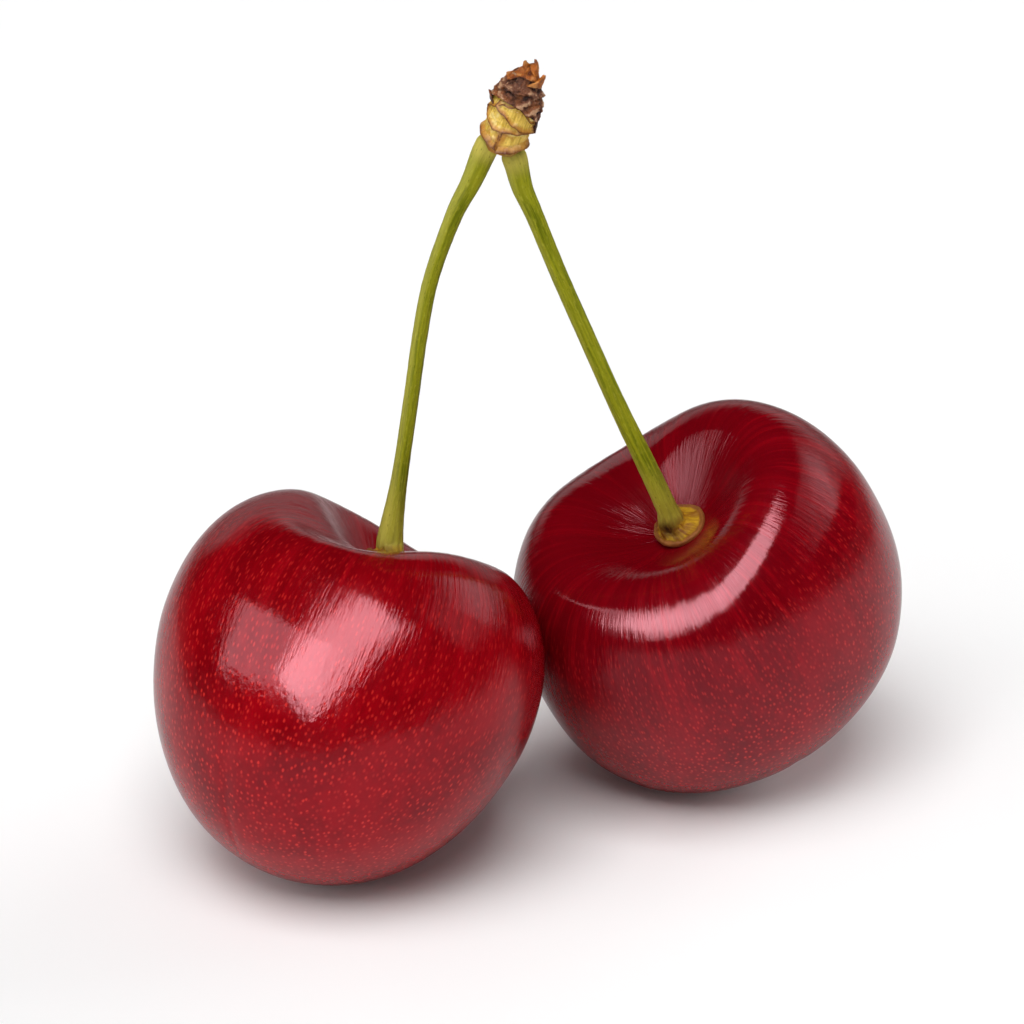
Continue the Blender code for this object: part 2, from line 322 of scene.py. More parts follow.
def add_attributes(mesh, attributes):
    for name, values in attributes.items():
        values = np.asarray(values, np.float32)
        if values.ndim == 2:
            layer = mesh.attributes.new(name, "FLOAT_VECTOR", "POINT")
            layer.data.foreach_set("vector", values.ravel())
        else:
            layer = mesh.attributes.new(name, "FLOAT", "POINT")
            layer.data.foreach_set("value", values)


def sheet_faces(rows, columns, wrap, start=0):
    """Quads over a grid of points that starts at that index, row by row."""
    faces = []
    for row in range(rows - 1):
        for column in range(columns if wrap else columns - 1):
            here = start + row * columns + column
            after = start + row * columns + (column + 1) % columns
            faces.append((here, after, after + columns, here + columns))
    return faces


def finish_mesh(name, points, faces, attributes, matrix=None):
    mesh = bpy.data.meshes.new(name)
    points = np.asarray(points, float).reshape(-1, 3)
    if matrix is not None:
        turned = np.array(matrix.to_3x3())
        points = points @ turned.T + np.array(matrix.translation)
    mesh.from_pydata((points * MM).tolist(), [], faces)
    add_attributes(mesh, attributes)
    mesh.validate()
    mesh.update()
    mesh.shade_smooth()
    thing = bpy.data.objects.new(name, mesh)
    bpy.context.scene.collection.objects.link(thing)
    return thing


def lathe_piece(name, grid, attributes, matrix=None):
    """A closed body from rings of points. The first and the last ring close to a point."""
    rows, columns = grid.shape[:2]
    faces = sheet_faces(rows, columns, True)
    points = np.concatenate([grid.reshape(-1, 3), [grid[0].mean(0)], [grid[-1].mean(0)]])
    bottom = rows * columns
    top = bottom + 1
    last_ring = bottom - columns
    for column in range(columns):
        after = (column + 1) % columns
        faces.append((bottom, after, column))
        faces.append((last_ring + column, last_ring + after, top))
    layers = {}
    for key, values in attributes.items():
        flat = values.reshape((rows * columns,) + values.shape[2:])
        layers[key] = np.concatenate([flat, flat[:1], flat[-1:]])
    return finish_mesh(name, points, faces, layers, matrix)


def box_centre(points):
    flat = np.asarray(points).reshape(-1, 3)
    return (flat.min(0) + flat.max(0)) / 2.0


def cad_centre(node):
    low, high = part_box(node)
    return np.array((low + high) / 2.0) / MM


def place(piece, node, material):
    piece.data.materials.append(material)
    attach(piece, BODY)
    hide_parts(node)


# Fruits


def near(angle, middle, spread):
    return np.exp(-(1.0 - np.cos(angle - middle)) / spread ** 2)


def skin_points(fruit, polar, turn):
    """The smooth skin about the fruit's centre, its own axis up."""
    out = np.sin(polar)
    up = np.cos(polar)
    top = ((1.0 + up) / 2.0) ** 3
    low = (1.0 - up) ** 2 / 4.0
    radius = out * (1.0 + fruit["shoulder_gain"] * up + fruit["end_gain"] * up * up)
    ring = (out / fruit["crest"]) ** 2
    crest = top * ring * ring * np.exp(2.0 - 2.0 * ring)
    hollow = top * np.exp(-((out / fruit["hollow_spread"]) ** fruit["steepness"]))
    dip = fruit["seam_dip"] * near(turn, SEAM, fruit["dip_spread"])
    dip = dip + fruit["back_dip"] * near(turn, SEAM + math.pi, fruit["dip_spread"])
    lift = fruit["crest_lift"] * np.cos(turn - math.radians(fruit["lift_side"]))
    x = fruit["width"] / 2.0 * radius * np.cos(turn) + fruit["tip_shift"][0] * low
    y = fruit["depth"] / 2.0 * radius * np.sin(turn) + fruit["tip_shift"][1] * low
    z = fruit["height"] / 2.0 * up - fruit["hollow_depth"] * hollow + crest * (lift - dip)
    z = z + crest * fruit["crest_gain"]
    return np.stack([x, y, z], -1)


def skin_relief(fruit, skin, polar, turn, streaks):
    """How far the skin stands off the smooth one: swells, wrinkles, seam and tip scar."""
    out = np.sin(polar)
    shoulder = smoothstep(*SHOULDER_STARTS, out) * (1.0 - smoothstep(*SHOULDER_ENDS, out))
    shoulder = shoulder * (polar < math.pi / 2.0)
    swell = SWELL_HEIGHT * ripple(skin, SWELL_SIZE, fruit["seed"])
    wrinkle = ripple(streaks * WRINKLE_CLOSENESS, 1.0, fruit["seed"] + 1.0)
    wrinkle = WRINKLE_HEIGHT * shoulder * wrinkle
    groove = -SEAM_DEPTH * near(turn, SEAM, SEAM_WIDTH) * smoothstep(*SEAM_STARTS, out)
    scar = -SCAR_DEPTH * bell(math.pi - polar, SCAR_WIDTH)
    return swell + wrinkle + groove + scar


def stand_fruit(fruit, skin):
    """The skin tilted as its solid is, above the same spot, and resting on a flat patch."""
    tilt = Euler([math.radians(angle) for angle in fruit["tilt"]], "ZYX").to_matrix()
    turned = skin @ np.array(tilt).T
    centre = cad_centre(fruit["name"]) - box_centre(turned)
    centre[2] = -turned[..., 2].min() - fruit["sink"]
    standing = turned + centre
    standing[..., 2] = np.maximum(standing[..., 2], 0.0)
    return standing


def make_fruit(fruit, material):
    """Build a fruit from the formula, its rings running up from the tip."""
    polar, turn = mesh_grid(np.linspace(POLE_GAP, math.pi - POLE_GAP, FRUIT_ROWS)[::-1],
                            full_turn(FRUIT_COLUMNS))
    skin = skin_points(fruit, polar, turn)
    streaks = np.stack([np.cos(turn) * STREAKS_ROUND, np.sin(turn) * STREAKS_ROUND,
                        polar * STREAKS_DOWN], -1)
    relief = skin_relief(fruit, skin, polar, turn, streaks)
    skin = skin + unit(skin) * relief[..., None]
    reach = 2.0 * DOTS_RADIUS * np.sin((math.pi - polar) / 2.0)
    attributes = {
        "dots": np.stack([reach * np.cos(turn), reach * np.sin(turn), 0.0 * turn], -1),
        "streaks": streaks,
        "polar": polar,
        "scar": bell(math.pi - polar, SCAR_STAIN),
    }
    cherry = lathe_piece(fruit["name"] + "_skin", stand_fruit(fruit, skin), attributes)
    place(cherry, fruit["name"], material)


# Stalks


def smooth_route(points, steps):
    """Points on a Catmull-Rom curve that starts at points[1] and ends at the last one."""
    route = points + [points[-1] * 2.0 - points[-2]]
    result = [route[1]]
    for index in range(1, len(route) - 2):
        before, start, end, after = route[index - 1:index + 3]
        for step in range(1, steps + 1):
            part = step / steps
            bend = (before * 2.0 - start * 5.0 + end * 4.0 - after) * part ** 2
            twist = (start * 3.0 - before - end * 3.0 + after) * part ** 3
            result.append((start * 2.0 + (end - before) * part + bend + twist) / 2.0)
    return result


def distances(points):
    """How far along the line through them each point lies."""
    legs = np.linalg.norm(np.diff(points, axis=0), axis=1)
    return np.concatenate([[0.0], np.cumsum(legs)])


def stalk_centreline(stalk):
    """Evenly spaced centres from the neck on, and their distance from it."""
    foot = Vector(stalk["foot"])
    neck = foot + Vector(stalk["axis"]).normalized() * NECK_HEIGHT
    points = [foot, neck] + [Vector(point) for point in stalk["way"]]
    route = np.array([tuple(point) for point in smooth_route(points, ROUTE_STEPS)])
    gone = distances(route)
    along = np.linspace(0.0, gone[-1], int(gone[-1] / STALK_STEP))
    centres = np.stack([np.interp(along, gone, route[:, axis]) for axis in range(3)], -1)
    return centres, along


def stalk_radius(stalk, along):
    """Thin at the waist, swollen at both ends, and rounded off at the top."""
    to_top = along[-1] - along
    foot_share = np.exp(-((along / stalk["foot_reach"]) ** SWELL_POWER))
    top_share = np.exp(-((to_top / stalk["top_reach"]) ** SWELL_POWER))
    radius = stalk["waist"] + (stalk["foot_radius"] - stalk["waist"]) * foot_share
    radius = radius + (stalk["top_radius"] - stalk["waist"]) * top_share
    near_end = np.clip((END_LENGTH - to_top) / END_LENGTH, 0.0, 1.0)
    radius = radius * np.sqrt(np.clip(1.0 - near_end ** 2, END_SHARE, 1.0))
    past_neck = smoothstep(0.0, NECK_LENGTH, along)
    return radius * past_neck + np.maximum(radius, NECK_RADIUS) * (1.0 - past_neck)


def disc_rings():
    """Height and radius of the disc's rings, and the shares of its top side and of the disc."""
    gone = distances(np.array(DISC_PROFILE))
    rise, radius = np.array(DISC_PROFILE).T
    fine = np.linspace(0.0, gone[-1], DISC_RINGS)[:-1]
    rise = np.interp(fine, gone, rise)
    radius = np.interp(fine, gone, radius)
    radius[0] = DISC_CENTRE_RADIUS
    top_side = smoothstep(gone[TOP_SIDE_FROM], gone[TOP_SIDE_FULL], fine)
    below_neck = 1.0 - smoothstep(gone[NECK_FROM], gone[NECK_FULL], fine)
    return rise, radius, top_side, below_neck


def stalk_rings(stalk):
    """One value for each ring, from the disc's underside to the stalk's top."""
    axis = np.array(Vector(stalk["axis"]).normalized())
    centres, along = stalk_centreline(stalk)
    rise, radius, top_side, below_neck = disc_rings()
    nothing = 0.0 * along
    near_neck = 1.0 - smoothstep(0.0, LUMPS_REACH, along)
    low_stalk = 1.0 - smoothstep(0.0, ROOTS_REACH, along)
    disc_centres = np.array(stalk["foot"]) + np.outer(rise, axis)
    tangents = np.gradient(np.concatenate([disc_centres, centres]), axis=0)
    tangents[:len(rise)] = axis
    return {
        "centre": np.concatenate([disc_centres, centres]),
        "tangent": unit(tangents),
        "radius": np.concatenate([radius, stalk_radius(stalk, along)]),
        "along": np.concatenate([rise - NECK_HEIGHT, along]),
        "on_disc": np.concatenate([np.ones(len(rise)), nothing]),
        "disc_out": np.concatenate([radius, nothing]),
        "below_neck": np.concatenate([below_neck, nothing]),
        "lumpy": np.concatenate([top_side, near_neck]),
        "rooted": np.concatenate([top_side * smoothstep(*ROOT_ENDS, radius), low_stalk]),
        "wavy": np.concatenate([smoothstep(*WAVE_STARTS, radius), nothing]),
    }


def ring_spokes(tangent, turn):
    """Directions out from each ring's centre, at right angles to the stalk."""
    side = unit(np.cross(tangent, (0.0, 1.0, 0.0)))
    front = np.cross(tangent, side)
    return (np.cos(turn)[None, :, None] * side[:, None, :]
            + np.sin(turn)[None, :, None] * front[:, None, :])


def stalk_points(stalk, rings, turn, spokes, fibre):
    """Ridges and bumps up the stalk, lumps and roots at its foot, and a wavy rim."""
    seed = stalk["seed"]
    relief = RIDGE_SHARE * ripple(fibre * np.array(RIDGE_CLOSENESS), 1.0, seed)
    relief = relief + BUMP_SHARE * ripple(fibre * np.array(BUMP_CLOSENESS), 1.0, seed + 2.0)
    column = {key: values[:, None] for key, values in rings.items()}
    reach = column["radius"] * (1.0 + relief * (1.0 - column["on_disc"]))
    grid = column["centre"] + spokes * reach[..., None]
    lumps = LUMP_HEIGHT * column["lumpy"] * ripple(grid, LUMP_SIZE, seed + 4.0)
    around = np.stack([np.cos(turn), np.sin(turn), 0.0 * turn], -1)
    roots = column["rooted"] * ripple(around * ROOT_CLOSENESS, 1.0, seed + 6.0)
    wave = column["wavy"] * ripple(around * WAVE_CLOSENESS, 1.0, seed + 7.0)
    grid = grid + lumps[..., None] * column["tangent"]
    grid = grid + (ROOT_HEIGHT * roots + WAVE_HEIGHT * wave)[..., None] * spokes
    grid[..., 0] += DISC_SHIFT * column["below_neck"]
    return grid


def bruise_share(stalk, rings, turn):
    """How dark the bruise is, beside the neck and on the disc round it."""
    aside = (turn - BRUISE_TURN + math.pi) % TAU - math.pi
    share = bell(aside, BRUISE_SPREAD) * bell(rings["along"][:, None], BRUISE_HEIGHT)
    return stalk["bruise"] * share * (rings["radius"][:, None] < BRUISE_EDGE)


def make_stalk(stalk, material):
    """A ridged stalk with its disc, as one body of rings."""
    rings = stalk_rings(stalk)
    turn = full_turn(STALK_COLUMNS)
    spokes = ring_spokes(rings["tangent"], turn)
    along, turns = mesh_grid(rings["along"], turn)
    fibre = np.stack([np.cos(turns), np.sin(turns), along], -1)
    attributes = {
        "fibre": fibre,
        "along": along,
        "to_top": along[-1] - along,
        "on_disc": mesh_grid(rings["on_disc"], turn)[0],
        "disc_out": mesh_grid(rings["disc_out"], turn)[0],
        "rise": along + NECK_HEIGHT,
        # How far each spot faces the left lights, for the stalk's painted highlight and painted
        # shade.
        "painted_light_side": np.clip(spokes @ np.array(PAINTED_LIGHT_FROM), -1.0, 1.0),
        "bruise": bruise_share(stalk, rings, turn),
    }
    grid = stalk_points(stalk, rings, turn, spokes, fibre)
    piece = lathe_piece(stalk["name"] + "_fine", grid, attributes)
    place(piece, stalk["name"], material)


# Spur


def spur_matrix():
    """The spur's own frame, in millimetres, found from where its body stands."""
    axis = Vector((math.sin(SPUR_LEAN), 0.0, math.cos(SPUR_LEAN)))
    base = Vector(cad_centre("spur_body")) - axis * SPUR_BODY_HEIGHT / 2.0
    return Matrix.Translation(base) @ Matrix.Rotation(SPUR_LEAN, 4, "Y")


def round_spur(turn, radius, height):
    return np.stack([radius * np.sin(turn), -radius * SPUR_OVAL * np.cos(turn), height], -1)


def curve_at(points, turn):
    """Smooth heights at those turns through (turn, height) points, whose turns are in degrees."""
    turns, heights = np.array(points, float).T
    angles = np.degrees(turn)
    index = np.clip(np.searchsorted(turns, angles) - 1, 0, len(turns) - 2)
    part = smoothstep(turns[index], turns[index + 1], angles)
    return heights[index] + (heights[index + 1] - heights[index]) * part


def shell_faces(rows, columns, wrap):
    """An outer sheet, an inner one turned over, and the walls that join their edges."""
    count = rows * columns
    last_row = count - columns
    walls = []
    for column in range(columns if wrap else columns - 1):
        after = (column + 1) % columns
        walls.append((after, column))
        walls.append((last_row + column, last_row + after))
    if not wrap:
        for start in range(0, last_row, columns):
            walls.append((start, start + columns))
            walls.append((start + 2 * columns - 1, start + columns - 1))
    faces = sheet_faces(rows, columns, wrap)
    faces += [face[::-1] for face in sheet_faces(rows, columns, wrap, count)]
    faces += [(here, after, after + count, here + count) for here, after in walls]
    return faces


def make_shell(scale, turn, height, radius, edge, wrap, matrix, material):
    """A thin closed scale between an outer sheet and the same sheet set inwards."""
    smooth = round_spur(turn, radius, height)
    stretch = np.array([1.0, 1.0, scale["wrinkle"]])
    # How far the scale's surface stands out. The materials take painted highlight on its ridges
    # from it, and on the bud scales painted shade in its creases.
    shell_relief = ripple(smooth * stretch, SHELL_RELIEF_SIZE, scale["seed"], 4)
    radius = radius + scale["rough"] * shell_relief
    outer = round_spur(turn, radius, height)
    inner = round_spur(turn, radius - scale["thickness"], height)
    grain = np.stack([np.cos(turn) * SPUR_RADIUS, np.sin(turn) * SPUR_RADIUS, height], -1)
    attributes = {
        "edge": np.tile(edge.ravel(), 2),
        "shell_relief": np.tile(shell_relief.ravel(), 2),
        "grain": np.tile(grain.reshape(-1, 3), (2, 1)),
    }
    piece = finish_mesh(scale["name"] + "_fine", np.stack([outer, inner]),
                        shell_faces(*turn.shape, wrap), attributes, matrix)
    place(piece, scale["name"], material)


def make_sheath(sheath, matrix, material):
    """An open bract. Its lower edge curls away from the spur, with a crease above the curl."""
    first, last = sheath["lower"][0][0], sheath["lower"][-1][0]
    part, turn = mesh_grid(np.linspace(0.0, 1.0, SHEATH_ROWS),
                           np.radians(np.linspace(first, last, SHEATH_COLUMNS)))
    around = np.stack([turn[0] * SPUR_RADIUS, 0.0 * turn[0], 0.0 * turn[0]], -1)
    fray = SHEATH_FRAY * ripple(around, SHEATH_FRAY_SIZE, sheath["seed"] + 3.0, 3)
    low = curve_at(sheath["lower"], turn) + fray
    high = curve_at(sheath["upper"], turn)
    height = low + (high - low) * part ** ROW_POWER
    below, above = sheath["radii"]
    curl = bell(height - low, CURL_HEIGHT)
    curl = curl - CREASE_SHARE * bell(height - low - CREASE_RISE, CREASE_WIDTH)
    radius = below + (above - below) * part + sheath["curl"] * curl
    side = np.minimum(turn - turn.min(), turn.max() - turn) * SPUR_RADIUS
    edge = np.minimum(height - low, side) / sheath["browned"]
    shell = {**SHEATH_SHELL, **sheath}
    make_shell(shell, turn, height, radius, edge, False, matrix, material)


def make_band(band, matrix, material):
    """A scale that closes round the spur, with ragged edges and a raised lower lip."""
    part, turn = mesh_grid(np.linspace(0.0, 1.0, BAND_ROWS), full_turn(BAND_COLUMNS, -math.pi))
    ring = np.stack([np.cos(turn[0]), np.sin(turn[0]), 0.0 * turn[0]], -1)
    lower_fray = ripple(ring * LOWER_FRAY_CLOSENESS, 1.0, band["seed"] + 5.0, 3)
    upper_fray = ripple(ring * UPPER_FRAY_CLOSENESS, 1.0, band["seed"] + 6.0, 3)
    low = curve_at(band["lower"], turn[0]) + LOWER_FRAY * lower_fray
    high = curve_at(band["upper"], turn[0]) + UPPER_FRAY * upper_fray
    height = low + (high - low) * part
    stations, radii = np.array(band["profile"]).T
    closing = band["closes"] * (1.0 - smoothstep(CLOSED_BELOW, OPEN_ABOVE, high))
    radius = np.interp(height, stations, radii) * (1.0 - closing * part ** 3)
    radius = radius + LIP_SIZE * bell(height - low, LIP_HEIGHT)
    make_shell(band, turn, height, radius, height - low, True, matrix, material)


def make_leaf(leaf, matrix, material):
    """A small pointed scale, which narrows towards its point."""
    part, across = mesh_grid(np.linspace(0.0, 1.0, LEAF_ROWS),
                             np.linspace(-1.0, 1.0, LEAF_COLUMNS))
    to_point = part if leaf["points_up"] else 1.0 - part
    width = leaf["span"] * (1.0 - LEAF_TAPER * to_point ** LEAF_TAPER_POWER)
    turn = np.radians(leaf["middle"] + across * width / 2.0 + leaf["lean"] * to_point)
    low, high = leaf["heights"]
    below, above = leaf["radii"]
    height = low + (high - low) * part
    radius = below + (above - below) * part
    edge = np.minimum(1.0 - np.abs(across), 1.0 - to_point) * LEAF_EDGE
    make_shell(leaf, turn, height, radius, edge, False, matrix, material)


def make_spur_body(matrix, material):
    part, turn = mesh_grid(np.linspace(0.0, 1.0, SPUR_BODY_ROWS),
                           full_turn(SPUR_BODY_COLUMNS))
    height = part * (SPUR_BODY_HEIGHT + SPUR_BODY_SINK) - SPUR_BODY_SINK
    shares, radii = np.array(SPUR_BODY_PROFILE).T
    grid = round_spur(turn, np.interp(part, shares, radii), height)
    relief = SPUR_BODY_RELIEF * ripple(grid, SPUR_BODY_RELIEF_SIZE, SPUR_BODY_SEED, 3)
    grid = grid + relief[..., None] * unit(grid)
    attributes = {
        "edge": np.ones(turn.shape),
        "shell_relief": np.zeros(turn.shape),
        "grain": np.stack([np.cos(turn), np.sin(turn), height], -1),
    }
    piece = lathe_piece("spur_body_fine", grid, attributes, matrix)
    place(piece, "spur_body", material)


def make_spur(sheath, wood, scale, tip):
    matrix = spur_matrix()
    make_spur_body(matrix, wood)
    for row in SHEATHS:
        make_sheath(row, matrix, sheath)
    make_band(COLLAR, matrix, sheath)
    make_band(LOWER_SCALE, matrix, scale)
    make_band(UPPER_SCALE, matrix, scale)
    make_band(TALL_TIP, matrix, tip)
    make_leaf(SMALL_TIP, matrix, tip)
    make_leaf(LEFT_FLAP, matrix, scale)
    make_leaf(RIGHT_FLAP, matrix, scale)


# Materials


class Paint:
    """A Principled material and short calls for the nodes that feed it."""

    def __init__(self, name):
        self.material = bpy.data.materials.new(name)
        self.material.use_nodes = True
        self.tree = self.material.node_tree
        self.shader = self.tree.nodes["Principled BSDF"]

    def node(self, kind, **values):
        made = self.tree.nodes.new("ShaderNode" + kind)
        for key, value in values.items():
            setattr(made, key, value)
        return made

    def feed(self, target, value):
        """Give an input another node's output, or else a number, a vector or a colour."""
        if hasattr(value, "links"):
            self.tree.links.new(value, target)
        else:
            target.default_value = value

    def shade(self, **values):
        """Feed the shader's inputs, named with underscores for spaces."""
        for key, value in values.items():
            self.feed(self.shader.inputs[key.replace("_", " ")], value)

    def attribute(self, name, output="Fac"):
        return self.node("Attribute", attribute_name=name).outputs[output]

    def scaled(self, vector, scale):
        made = self.node("VectorMath", operation="MULTIPLY")
        self.feed(made.inputs[0], vector)
        self.feed(made.inputs[1], scale)
        return made.outputs[0]

    def noise(self, vector, scale, detail=3.0, roughness=0.5):
        made = self.node("TexNoise")
        self.feed(made.inputs["Vector"], vector)
        self.feed(made.inputs["Scale"], scale)
        self.feed(made.inputs["Detail"], detail)
        self.feed(made.inputs["Roughness"], roughness)
        return made.outputs["Fac"]

    def dots(self, vector, scale, dimensions="2D"):
        """Distance from the nearest of scattered points, and a random value for each point."""
        made = self.node("TexVoronoi", voronoi_dimensions=dimensions)
        self.feed(made.inputs["Vector"], vector)
        self.feed(made.inputs["Scale"], scale)
        return made.outputs["Distance"], made.outputs["Color"]

    def math(self, operation, first, second):
        made = self.node("Math", operation=operation)
        self.feed(made.inputs[0], first)
        self.feed(made.inputs[1], second)
        return made.outputs[0]

    def times(self, first, second):
        return self.math("MULTIPLY", first, second)

    def plus(self, first, second):
        return self.math("ADD", first, second)

    def step(self, value, low, high, to_low=0.0, to_high=1.0):
        """A smooth step from to_low, where the value is low, to to_high, where it is high."""
        made = self.node("MapRange", interpolation_type="SMOOTHSTEP")
        self.feed(made.inputs["Value"], value)
        self.feed(made.inputs["From Min"], low)
        self.feed(made.inputs["From Max"], high)
        self.feed(made.inputs["To Min"], to_low)
        self.feed(made.inputs["To Max"], to_high)
        return made.outputs["Result"]

    def mix(self, share, first, second):
        """The first colour where share is 0, and the second where it is 1."""
        made = self.node("Mix", data_type="RGBA", blend_type="MIX")
        self.feed(made.inputs[0], share)
        self.feed(made.inputs[6], first)
        self.feed(made.inputs[7], second)
        return made.outputs[2]

    def bump(self, *layers):
        """Relief from (height, distance) layers, each laid on the one before."""
        normal = None
        for height, distance in layers:
            made = self.node("Bump")
            self.feed(made.inputs["Height"], height)
            self.feed(made.inputs["Distance"], distance)
            self.feed(made.inputs["Strength"], 1.0)
            if normal is not None:
                self.feed(made.inputs["Normal"], normal)
            normal = made.outputs["Normal"]
        return normal


DASH_RED = (0.42, 0.0030, 0.008, 1.0)
DOT_RED = (0.66, 0.0230, 0.0180, 1.0)
SCAR_BROWN = (0.10, 0.04, 0.02, 1.0)


def skin_color(paint, dots, streaks, polar, upper, deep, bright):
    """Mottled red with lighter lines above, pale dots below and a brown scar at the tip."""
    clouds = paint.noise(dots, 0.13, 3.0)
    mottle = paint.noise(dots, 0.75, 4.0, 0.6)
    mottle = paint.times(mottle, paint.step(polar, 0.7, 1.5, 0.0, 0.35))
    tone = paint.plus(paint.times(clouds, 0.65), mottle)
    color = paint.mix(paint.step(tone, 0.30, 0.64), deep, bright)
    lines = paint.noise(paint.scaled(streaks, (3.4, 3.4, 0.55)), 1.0, 3.0, 0.6)
    lines = paint.times(paint.step(lines, 0.45, 0.75), upper)
    color = paint.mix(paint.times(lines, 0.40), color, DASH_RED)
    near_dot, dot_random = paint.dots(dots, 2.2)
    ragged = paint.plus(near_dot, paint.times(paint.noise(dots, 3.0, 2.0), 0.42))
    strength = paint.step(dot_random, 0.1, 0.9, 0.15, 1.0)
    strength = paint.times(strength, paint.step(polar, 1.0, 2.0, 0.40, 0.85))
    strength = paint.times(strength, paint.step(polar, 0.65, 1.05))
    spots = paint.times(paint.step(ragged, 0.26, 0.56, 1.0, 0.0), strength)
    color = paint.mix(spots, color, DOT_RED)
    return paint.mix(paint.attribute("scar"), color, SCAR_BROWN)


def skin_material(name, deep, bright):
    """Deep red skin: round pale dots below, and lighter lines towards the stalk."""
    paint = Paint(name)
    dots = paint.attribute("dots", "Vector")
    streaks = paint.attribute("streaks", "Vector")
    polar = paint.attribute("polar")
    upper = paint.times(paint.step(polar, 1.0, 2.0, 1.0, 0.0),
                        paint.step(polar, 0.30, 0.75, 0.25, 1.0))
    pores = paint.noise(dots, 1.6, 3.0)
    fine = paint.noise(paint.scaled(streaks, (7.0, 7.0, 1.3)), 1.0, 4.0, 0.6)
    feather = paint.noise(paint.scaled(streaks, (2.4, 2.4, 1.6)), 1.0, 3.0, 0.6)
    feather = paint.times(feather, paint.step(polar, 0.40, 0.75, 1.0, 0.0))
    paint.shade(
        Base_Color=skin_color(paint, dots, streaks, polar, upper, deep, bright),
        Normal=paint.bump((pores, 0.000022), (paint.times(fine, upper), 0.000026),
                          (feather, 0.000030)),
        Roughness=paint.step(paint.noise(dots, 0.5, 2.0), 0.3, 0.7, 0.08, 0.13),
        IOR=1.60,
        Specular_Tint=(1.0, 0.45, 0.52, 1.0),
        Subsurface_Weight=0.05,
        Subsurface_Radius=(0.003, 0.0006, 0.0005),
        Subsurface_Scale=1.0,
    )
    return paint.material


FIBRE_DARK = (0.120, 0.140, 0.0010, 1.0)
FIBRE_LIGHT = (0.29, 0.295, 0.008, 1.0)
STALK_PATCH = (0.36, 0.34, 0.016, 1.0)
STALK_FLECK = (0.46, 0.44, 0.045, 1.0)
# Painted highlight and painted shade for the stalk's sides towards and away from the left lights.
STALK_PAINTED_LIGHT = (0.56, 0.51, 0.11, 1.0)
STALK_PAINTED_SHADE = (0.11, 0.095, 0.008, 1.0)
STALK_PALE = (0.62, 0.50, 0.100, 1.0)
STALK_PIT = (0.10, 0.115, 0.006, 1.0)
NECK_TAN = (0.40, 0.30, 0.05, 1.0)
DISC_OCHRE = (0.20, 0.070, 0.008, 1.0)
DISC_YELLOW = (0.52, 0.30, 0.018, 1.0)
RIM_DARK = (0.11, 0.032, 0.010, 1.0)
RIM_LIGHT = (0.34, 0.13, 0.030, 1.0)
# Dark brown painted as shade on the disc's underside.
DISC_UNDER_SHADE = (0.16, 0.045, 0.015, 1.0)
BRUISE_BROWN = (0.030, 0.010, 0.004, 1.0)


def stalk_color(paint, fibre, along, lines, mottle):
    """Green with pale fibres and flecks, painted highlight on the side facing the left lights and
    painted shade on the side away, pale ends and dark pits.
    """
    painted_light_side = paint.attribute("painted_light_side")
    patches = paint.noise(paint.scaled(fibre, (0.8, 0.8, 0.20)), 1.0, 2.0)
    color = paint.mix(paint.step(lines, 0.34, 0.66), FIBRE_DARK, FIBRE_LIGHT)
    color = paint.mix(paint.step(patches, 0.38, 0.68, 0.0, 0.5), color, STALK_PATCH)
    color = paint.mix(paint.step(mottle, 0.50, 0.72, 0.0, 0.5), color, STALK_FLECK)
    # Painted highlight on the side facing the left lights, and painted shade on the side away.
    color = paint.mix(paint.step(painted_light_side, 0.35, 0.95, 0.0, 0.38), color, STALK_PAINTED_LIGHT)
    color = paint.mix(paint.step(painted_light_side, -0.95, -0.40, 0.62, 0.0), color, STALK_PAINTED_SHADE)
    ends = paint.plus(paint.step(paint.attribute("to_top"), 0.9, 2.4, 0.60, 0.0),
                      paint.step(along, 0.5, 7.0, 0.30, 0.0))
    color = paint.mix(ends, color, STALK_PALE)
    near_pit, pit_random = paint.dots(paint.scaled(fibre, (2.6, 2.6, 1.3)), 1.6, "3D")
    pits = paint.times(paint.step(near_pit, 0.10, 0.24, 1.0, 0.0),
                       paint.step(pit_random, 0.4, 0.8, 0.1, 0.75))
    color = paint.mix(pits, color, STALK_PIT)
    foot = paint.plus(along, paint.times(mottle, 1.4))
    return paint.mix(paint.step(foot, 0.7, 1.9, 0.75, 0.0), color, NECK_TAN)


def disc_color(paint, fibre, mottle):
    """Yellow and ochre with a ragged brown rim, and painted shade underneath in dark brown."""
    yellow = paint.mix(paint.step(mottle, 0.35, 0.65), DISC_OCHRE, DISC_YELLOW)
    brown = paint.mix(paint.noise(fibre, 4.0, 4.0), RIM_DARK, RIM_LIGHT)
    out = paint.plus(paint.attribute("disc_out"), paint.times(mottle, 0.35))
    disc = paint.mix(paint.step(out, 1.66, 1.84), yellow, brown)
    # Painted shade: the disc's underside, which sits in the fruit's hollow, is darkened to brown.
    shaded_under = paint.step(paint.attribute("rise"), 0.05, 0.30, 0.7, 0.0)
    return paint.mix(shaded_under, disc, DISC_UNDER_SHADE)


